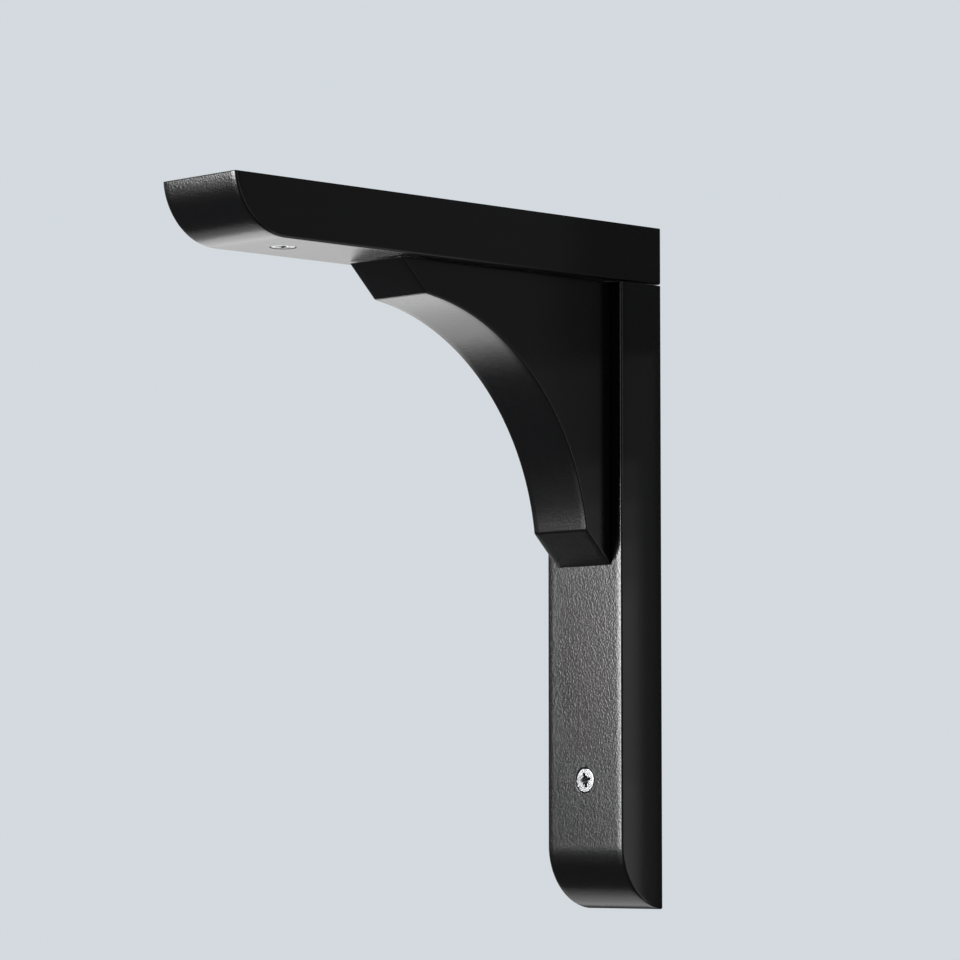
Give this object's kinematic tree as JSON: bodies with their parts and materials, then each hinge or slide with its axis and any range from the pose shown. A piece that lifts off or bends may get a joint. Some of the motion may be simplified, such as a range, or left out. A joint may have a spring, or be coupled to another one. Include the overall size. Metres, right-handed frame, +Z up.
{
  "type": "shelf bracket",
  "caption": "Wooden shelf bracket: an arm over a post, joined by a concave brace, with quarter-round free ends and countersunk screws.",
  "frame": {"origin": "middle of the post's back face, the face that lies against the wall", "axes": "+Y into the wall, so the bracket reaches out along -Y; +Z up; X across the bars, with X = 0 the plane of symmetry"},
  "size_m": [0.034, 0.1824, 0.2209],
  "materials": {
    "black_lacquer": "solid wood under a black satin lacquer with a fine pebbled surface",
    "zinc_plate": "bright zinc-plated steel"
  },
  "bodies": {
    "root": {"arm": "black_lacquer", "post": "black_lacquer", "brace": "black_lacquer", "post_screw": "zinc_plate", "arm_screw": "zinc_plate"}
  },
  "joints": []
}
